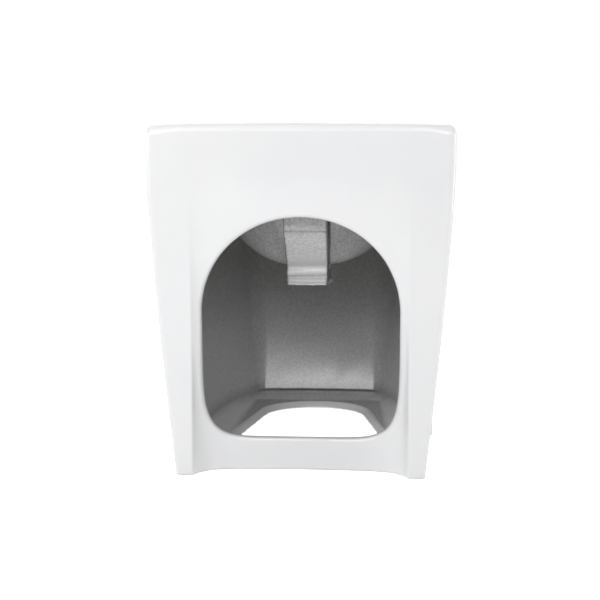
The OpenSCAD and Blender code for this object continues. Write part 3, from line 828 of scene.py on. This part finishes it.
def small_forms(x, d, z):
    fine = (z < fine_foot_z) & (d > fine_foot_d) & (cavity_field(x, d, z) < fine_foot_in)
    fine |= (np.abs(x) < fine_duct_x) & between(d, *fine_duct_d) & between(z, *fine_duct_z)
    fine |= (d < fine_ramp_d) & (np.abs(np.abs(x) - fine_ramp_x) < fine_ramp_w) & (z < recess_top)
    fine |= np.hypot(d - fixing_from_wall, z - fixing_z) < fine_fixing_r
    fine |= (np.hypot(x, d - tap_from_wall) < fine_tap_r) & (z > fine_tap_z)
    return fine | (np.hypot(x, z - overflow_z) < fine_overflow_r) & (d < fine_overflow_d)


# Marks on the ceramic. A pair is where a mark starts or ends, and over what length in mm it changes
# Thin grey glaze lies on the hollow's faces and grows inwards, and there is less of it low down. Where there
# is less of it the faces are whiter: painted light near the opening and low down, and painted shade high on
# the sides
thin_reach, bowl_skin, thin_d, thin_power = (5.5, 3), (1.5, 3), (20, 330), 0.7
thin_near_lit, thin_high_shaded, high_z, high_x, high_d = 0.4, 0.8, (150, 80), (90, 15), (28, 15)
thin_low_lit, lit_low_z, thin_duct, thin_bowl = 0.25, (110, 100), 0.35, 0.65
# White glaze pools on the foot's slopes and on the floor opening's lip, and its white also paints the light
# that these faces catch
facet_up, facet_d, lip_in, lip_least, lip_z = (-1.8, 1.5), (405, 60), (8, 3), 0.1, 20
# Painted shade in creases: where the foot meets the front, where it meets the walls, and in the valley
groove_shade, groove_d, groove_w = 0.5, (425, 20), 2
corner_shade, corner_end_d, corner_h, corner_w = 0.45, 455, 9, 6
valley_shade, valley_in, valley_fade = 0.35, (9, 3), 0.7
# Painted shade on the duct's sides, at and above its kink, in the fold over its lip, and round the outlet's
# neck. Each up is over the kink or the boss's bottom
flank_shade, flank_out, above_kink_shade = 0.85, (-1.2, 1.0), 0.12
kink_shade, kink_up, kink_w, kink_end_d = 0.55, 0.5, 1.3, 80
fold_shade, fold_up, fold_w, fold_from_d = 0.4, 11.5, 2, 136
neck_shade, neck_low_r, neck_high_r, neck_up = 0.75, 23.5, boss_r + 5, (7, 2)
duct_end_d, duct_below_top = 172, 30
# Grit on the duct's slope and top, under the bowl and elsewhere, and the rim's worn edge
rough_duct, rough_top, rough_top_z, rough_bowl, rough_rest = 0.25, 1.0, (232, 20), 0.9, 0.55
rough_facet = 0.6
worn_up, worn_d = (-9, 4), (9, 4)


# Painted shade on the duct's sides, at and above its kink, and in the fold over its lip
def duct_crease_shade(d, z, side):
    kink = kink_shade * hump(z - duct_kink_z - kink_up, kink_w) + above_kink_shade * (z > duct_kink_z)
    fold = fold_shade * hump(z - boss_bottom_z - fold_up, fold_w) * (d > fold_from_d)
    return np.maximum(flank_shade * rise(side, *flank_out), kink * (d < kink_end_d) + fold)


# Painted shade where the foot meets the front and side walls, and in the valley by the bead
def foot_crease_shade(d, z, hollow, edge, foot_z):
    past_wall, up = np.minimum(hollow + 1, 0), np.maximum(z - foot_z - 2, 0)
    groove = groove_shade * np.exp(-(past_wall ** 2 + (z - foot_z) ** 2) / groove_w ** 2) * rise(d, *groove_d)
    corner = corner_shade * hump(up, corner_h) * hump(past_wall, corner_w) * (d < corner_end_d)
    low = hump(np.maximum(foot_z - foot_t + valley_drop, 0), valley_fade) * (z < foot_z + 2)
    return groove + corner + valley_shade * rise(edge, *valley_in) * low


def glaze_light_and_shade_marks(x, d, z):
    """Values from 0 to 1 at each point that the ceramic's material reads, among them painted shade in
    creases and painted light where the glaze is whiter.
    """
    hollow, edge, side = cavity_field(x, d, z), floor_field(x, d), duct_side(x, z)
    foot_z = foot_top(x, d, hollow)
    in_hollow = fall(hollow, *thin_reach) * rise(np.abs(bowl_field(x, d, z, 0)), *bowl_skin)
    under_bowl = bowl_field(x, d, z, wall_t) < 3
    on_duct = between(d, duct_from_wall - 3, duct_end_d) & between(z, boss_bottom_z, body_h - duct_below_top)
    on_duct &= side < 2
    # White glaze on the foot's slopes, which also paints the light that falls on them
    facet = rise(foot_z - foot_t, *facet_up) * fall(d, *facet_d) * (z < foot_z + 3)
    lip = np.where(z > lip_z, 1, np.maximum(rise(edge, *lip_in), lip_least))

    # The grey glaze is less near the opening and low down: painted light there, and painted shade high on
    # the sides
    near = mix(thin_near_lit, thin_high_shaded, rise(z, *high_z) * rise(np.abs(x), *high_x) * rise(d, *high_d))
    inside = in_hollow * mix(near, 1.0, rise(d, *thin_d) ** thin_power)
    inside = inside * lip * mix(thin_low_lit, 1.0, rise(z, *lit_low_z)) * (1 - facet)
    inside = inside * np.where(on_duct, thin_duct, 1) * np.where(under_bowl, thin_bowl, 1)

    # Painted shade round the outlet's neck
    on_neck = between(np.hypot(x, d - waste_from_wall), neck_low_r, neck_high_r) & (z < bowl_under_z)
    neck = neck_shade * on_neck * rise(z - boss_bottom_z, *neck_up) * (side > -1)
    crease_shade = foot_crease_shade(d, z, hollow, edge, foot_z) + on_duct * duct_crease_shade(d, z, side)
    rough = np.where(under_bowl, rough_bowl, rough_rest)
    rough = np.where(on_duct, mix(rough_duct, rough_top, rise(z, *rough_top_z)), rough)
    return {
        "inside": inside,
        "crease_shade": np.maximum(in_hollow * np.clip(crease_shade, 0, 1), neck),
        "pool_and_light": in_hollow * np.clip(facet + (1 - lip) * (z < lip_z), 0, 1),
        "rough": rough * in_hollow * lip * (1 - rough_facet * facet),
        "worn": rise(z - body_h, *worn_up) * fall(d, *worn_d),
    }


def make_ceramic():
    points, quads = surface_net(ceramic_field, grid_low, grid_high, step)
    points = settle(ceramic_field, points, step)
    points, groups = refine(points, quads, small_forms(*points[quads].mean(axis=1).T))
    points = settle(ceramic_field, points, step / 2)
    (left, front, _), (right, rear, top) = [np.array(v) * 1000 for v in cad_box]
    points = np.clip(points, (left, half_d - rear, 0), (right, half_d - front, top))
    body = mesh_object("ceramic_body", to_row(points), groups)
    for name, value in glaze_light_and_shade_marks(*points.T).items():
        mark = body.data.attributes.new(name, "FLOAT", "POINT")
        mark.data.foreach_set("value", value.astype(np.float32))
    body.data.materials.append(ceramic)
    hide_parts("rim_deck", "bowl", "body_shell", "rear_panel", "foot_flange", "overflow_duct",
                "waste_boss")
    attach(body, "ceramic")


make_ceramic()


# Fixings and covers, each the surface of a field, for the side x > 0

# Outer face of the bracket's plate, its gussets, rounded toe and pad round the floor hole
bracket_x, plate_corner_r = 130.65, 6
gusset_h, gusset_l, gusset_t = 54.0, 19.0, 4.0
toe_r, toe_curve = 8, 30
floor_hole_x, pad_r, pad_h, boss_root = 24.0, 8.5, 0.6, 1
# Radii of edges and fillets, from those of thin metal to those of moulded nylon
sharp_r, fine_r, small_r, mid_r, face_r = 0.2, 0.3, 0.4, 0.5, 0.6
mould_r, mould_fillet, foot_fillet = 0.8, 1, 2
# Length of the bush's sleeve, and its reach into the wall
bush_l, bush_in = 9.0, 8.0
slot_w, slot_h = 1.4, 1.2
screw_pitch, screw_thread, thread_past, tip_r = 1.0, 0.3, 8, 0.9
head_crown_r, head_under_r, head_root = 1.4, 0.25, 1
# The nut's chamfer leans by the tangent of 60 degrees
chamfer_slope, chamfer_gap, nut_edge_r, nut_bore_r = 1.73, 0.1, 0.15, 0.35
# The cover's rounded rim and its sleeve, which is slit at the top and at the bottom
cover_crown_r, cover_bore_r, slit_w, slit_from = 1.7, 1, 1.2, 4.5
# Reach over which their fields' slopes are measured
fine_reach = 0.06

screw_seat_x = cap_seat_x + fit_gap + bush_flange_t
screw_end_x = bracket_x - bracket_t - nut_t - screw_d / 2
head_x = screw_seat_x + fit_gap / 2
cap_h = fit_gap + bush_flange_t + screw_head_h + 2 * fit_gap + cap_t


def from_screw(d, z):
    return np.hypot(d - fixing_from_wall, z - fixing_z)


def bracket_field(x, d, z):
    wide = np.abs(d - fixing_from_wall) - bracket_w / 2
    toe = bracket_x - bracket_foot - x
    foot = both(np.maximum(wide, toe), z - bracket_t, mould_fillet)
    foot = both(foot, toe + np.maximum(0, wide + toe_r) ** 2 / toe_curve, mould_r)
    plate = both(both(wide, z - bracket_h, plate_corner_r), bracket_x - bracket_t - x, mould_r)
    lean = ((bracket_x - x) * gusset_h + (z - gusset_h) * gusset_l) / math.hypot(gusset_h, gusset_l)
    gusset = np.abs(np.abs(d - fixing_from_wall) - (bracket_w - gusset_t) / 2) - gusset_t / 2
    body = either(either(foot, plate, foot_fillet), both(gusset, lean, mould_r), mould_fillet)
    body = both(body, x - bracket_x, face_r)
    r = from_screw(d, z)
    boss = both(np.maximum(r - bracket_boss_d / 2, bracket_x - boss_root - x), x - boss_end_x, mould_r)
    body = both(either(body, boss, mould_fillet), screw_d / 2 + fit_gap / 2 - r, small_r)
    hole = np.hypot(x - bracket_x + floor_hole_x, d - fixing_from_wall)
    pad = both(np.maximum(hole - pad_r, 1 - z), z - bracket_t - pad_h, mid_r)
    body = both(either(body, pad, mould_r), floor_hole_d / 2 - hole, mid_r)
    return both(body, -z, small_r)


def bush_field(x, d, z):
    r = from_screw(d, z)
    sleeve = both(r - bush_d / 2, slab(x - cap_seat_x, -bush_in, bush_l), small_r)
    flange = both(r - bush_flange_d / 2, slab(x - cap_seat_x, fit_gap, bush_flange_t), small_r)
    return both(either(sleeve, flange, small_r), screw_d / 2 + fit_gap - r, fine_r)


def screw_field(x, d, z):
    r = from_screw(d, z)
    turn = np.arctan2(z - fixing_z, d - fixing_from_wall) / (2 * math.pi)
    groove = screw_thread * np.abs(2 * np.mod(x / screw_pitch + turn, 1) - 1)
    groove = groove * (x < bracket_x + thread_past)
    shank = both(r - screw_d / 2 + groove, screw_end_x - x, tip_r)
    shank = np.maximum(shank, x - screw_seat_x - head_root)
    head = both(r - screw_head_d / 2, x - head_x - screw_head_h, head_crown_r)
    head = both(head, head_x - x, head_under_r)
    slot = np.maximum(np.abs(z - fixing_z) - slot_w / 2, head_x + screw_head_h - slot_h - x)
    return both(either(shank, head, small_r), -slot, sharp_r)


def nut_field(x, d, z):
    v, w, r = d - fixing_from_wall, z - fixing_z, from_screw(d, z)
    flats = [np.abs(v * math.sin(q) + w * math.cos(q)) for q in (0, math.pi / 3, -math.pi / 3)]
    along = np.abs(x - bracket_x + bracket_t + fit_gap / 2 + nut_t / 2) - nut_t / 2
    chamfer = (r + chamfer_slope * along - nut_af / 2 - chamfer_gap) / 2
    body = both(np.maximum(np.maximum.reduce(flats) - nut_af / 2, chamfer), along, nut_edge_r)
    return both(body, screw_d / 2 + fit_gap / 2 - r, nut_bore_r)


def cap_field(x, d, z):
    r, along = from_screw(d, z), x - cap_seat_x
    skirt_r = bush_flange_d / 2 + fit_gap
    disc = both(r - cap_d / 2, along - cap_h, cap_t)
    disc = both(disc, cap_h - 2 * cap_t - along, fine_r)
    skirt = both(r - skirt_r - cap_t, fit_gap - along, fine_r)
    skirt = np.maximum(skirt, along - cap_h + cap_t)
    inner = np.maximum(r - skirt_r, along - cap_h + cap_t)
    return both(either(disc, skirt, mid_r), -inner, fine_r)


def cover_field(x, d, z):
    r, along = np.hypot(x, z - overflow_z), d - cover_seat_d - fit_gap
    ring = both(both(r - cover_d / 2, along - cover_t, cover_crown_r), -along, sharp_r)
    sleeve = both(r - overflow_hole_d / 2 + fit_gap, -along - cover_sleeve, fine_r)
    body = either(ring, np.maximum(sleeve, along - 1), small_r)
    body = both(body, overflow_hole_d / 2 - fit_gap - cover_wall - r, cover_bore_r)
    slit = np.maximum(np.abs(x) - slit_w / 2, along + slit_from)
    return both(body, -slit, sharp_r)


def fixing(name, field, low, high, h, sides, material, carrier, *nodes):
    """Piece on one side, +1 or -1, or on both, that stands for CAD nodes."""
    points, quads = surface_net(field, low, high, h)
    points = settle(field, points, h, fine_reach)
    points[:, 2] = np.maximum(points[:, 2], 0)
    parts = [(points * (side, 1, 1), quads if side > 0 else quads[:, ::-1]) for side in sides]
    quads = np.concatenate([q + i * len(points) for i, (_, q) in enumerate(parts)])
    piece = mesh_object(name, to_row(np.concatenate([p for p, _ in parts])), [quads])
    piece.data.materials.append(material)
    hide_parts(*nodes)
    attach(piece, carrier)


def around(x_low, x_high, r):
    """Corners of a grid round the side screw."""
    low, high = fixing_from_wall - r, fixing_from_wall + r
    return (x_low, low, fixing_z - r), (x_high, high, fixing_z + r)


def make_fixings():
    """Each grid reaches a little past its piece, and its step suits the smallest form."""
    bracket_grid = ((bracket_x - 40, 58, -2), (boss_end_x + 2, 102, 60))
    cap_grid = around(cap_seat_x - 1, cap_seat_x + 9, 14)
    for name, side in (("left", -1), ("right", 1)):
        fixing("angle_bracket_" + name, bracket_field, *bracket_grid, 1.0, (side,), bracket_nylon,
               "ceramic", "bracket_" + name)
        fixing("cover_cap_" + name, cap_field, *cap_grid, 0.6, (side,), cap_plastic,
               name + "_cap", "cap_" + name)
    pairs = (("bushes", bush_field, around(cap_seat_x - 10, cap_seat_x + 3, 10), 0.5, bush_nylon),
             ("screws", screw_field, around(screw_end_x - 1, cap_seat_x + 6.5, 6.5), 0.3, zinc_steel),
             ("nuts", nut_field, around(bracket_x - 11, bracket_x - 2.5, 7), 0.4, zinc_steel))
    for name, field, grid, h, material in pairs:
        fixing(name, field, *grid, h, (1, -1), material, "ceramic", "side_" + name)
    cover_grid = (-17, cover_seat_d - 13, overflow_z - 17), (17, cover_seat_d + 4, overflow_z + 17)
    fixing("cover_ring", cover_field, *cover_grid, 0.5, (1,), chrome, "overflow_ring", "overflow_cover")


make_fixings()


# Camera, floor and light, in metres

camera_place, camera_yaw, camera_pitch = (-0.096, 1.762, 0.400), 3.67, -7.47
lens, sensor_w = 80.9, 36.0
# The floor's half width and grid, and its glow for the eye, which rises to white away from the object
floor_half, floor_n = 9, 24
floor_color, floor_rough = (0.9, 0.9, 0.9, 1), 0.9
glow_from, glow_to, glow_near, glow_far = 1.0, 3.0, 0.86, 1.0
white = (1, 1, 1, 1)
# Strength of the white surroundings as light and to the eye
world_light, world_seen = 0.05, 1.0
# Name, place, target, size in metres and power in watts
lamps = [
    ("soft", (0.42, 2.15, 1.12), (0, -0.19, 0.03), (2.2, 0.9), 28),
    ("high", (0.4, 1.7, 1.75), (0, 0.05, 0), (1.6, 0.8), 7.1),
    ("key", (1.1, 0.8, 0.5), (0, 0.27, 0.28), (0.4, 0.4), 1.8),
    ("graze", (-1.3, 0.38, 0.4), (0.12, 0.27, 0.2), (0.5, 0.5), 4.3),
    ("right", (-2.3, -0.3, 0.9), (0, 0, 0.2), (1.6, 1.4), 11.5),
    ("left", (2.3, -0.3, 0.9), (0, 0, 0.2), (1.6, 1.4), 11.5),
    ("top", (0, -0.4, 2.2), (0, 0, 0.3), (1.6, 1.6), 14),
    ("front", (0.7, -2.4, 0.8), (0, 0, 0.2), (1.4, 1.2), 17),
]


def place_camera():
    data = bpy.data.cameras.new("camera")
    data.lens = lens
    data.sensor_width = sensor_w
    camera = add_object("camera", data)
    yaw, pitch = math.radians(camera_yaw), math.radians(camera_pitch)
    level = math.cos(pitch)
    forward = Vector((math.sin(yaw) * level, -math.cos(yaw) * level, math.sin(pitch)))
    camera.location = camera_place
    camera.rotation_euler = forward.to_track_quat("-Z", "Y").to_euler()
    bpy.context.scene.camera = camera


def area_light(name, place, target, size, power):
    data = bpy.data.lights.new(name, "AREA")
    data.shape = "RECTANGLE"
    data.size, data.size_y = size
    data.energy = power
    lamp = add_object(name, data)
    lamp.location = place
    lamp.visible_camera = False
    lamp.rotation_euler = (Vector(target) - Vector(place)).to_track_quat("-Z", "Y").to_euler()


def seen_by_eye(tree):
    """1 for rays from the camera, a mirror or glass."""
    path = tree.nodes.new("ShaderNodeLightPath")
    total = path.outputs["Is Camera Ray"]
    for key in ("Is Glossy Ray", "Is Transmission Ray"):
        add = tree.nodes.new("ShaderNodeMath")
        add.operation = "MAXIMUM"
        set_inputs(tree, add, {0: total, 1: path.outputs[key]})
        total = add.outputs[0]
    return total


def make_floor():
    line = np.linspace(-floor_half, floor_half, floor_n)
    x, y = np.meshgrid(line, line, indexing="ij")
    points = np.c_[x.ravel(), y.ravel(), np.zeros(floor_n * floor_n)]
    i, j = np.meshgrid(np.arange(floor_n - 1), np.arange(floor_n - 1), indexing="ij")
    a = (i * floor_n + j).ravel()
    floor = mesh_object("floor", points, [np.c_[a, a + floor_n, a + floor_n + 1, a + 1]])
    material, tree, shader = new_material("floor")
    away = tree.nodes.new("ShaderNodeVectorMath")
    away.operation = "LENGTH"
    set_inputs(tree, away, {0: tree.nodes.new("ShaderNodeTexCoord").outputs["Object"]})
    glow = spread(tree, away.outputs["Value"], glow_from, glow_to, glow_near, glow_far)
    strength = blend_value(tree, seen_by_eye(tree), 0.0, glow)
    set_inputs(tree, shader, {"Base Color": floor_color, "Roughness": floor_rough, "Specular IOR Level": 0.0,
                              "Emission Color": white, "Emission Strength": strength})
    floor.data.materials.append(material)


def make_world():
    world = bpy.data.worlds.new("world")
    world.use_nodes = True
    tree = world.node_tree
    strength = spread(tree, seen_by_eye(tree), 0, 1, world_light, world_seen)
    set_inputs(tree, tree.nodes["Background"], {"Color": white, "Strength": strength})
    bpy.context.scene.world = world


place_camera()
make_floor()
make_world()
for lamp in lamps:
    area_light(*lamp)

bpy.context.scene.view_settings.view_transform = "Standard"
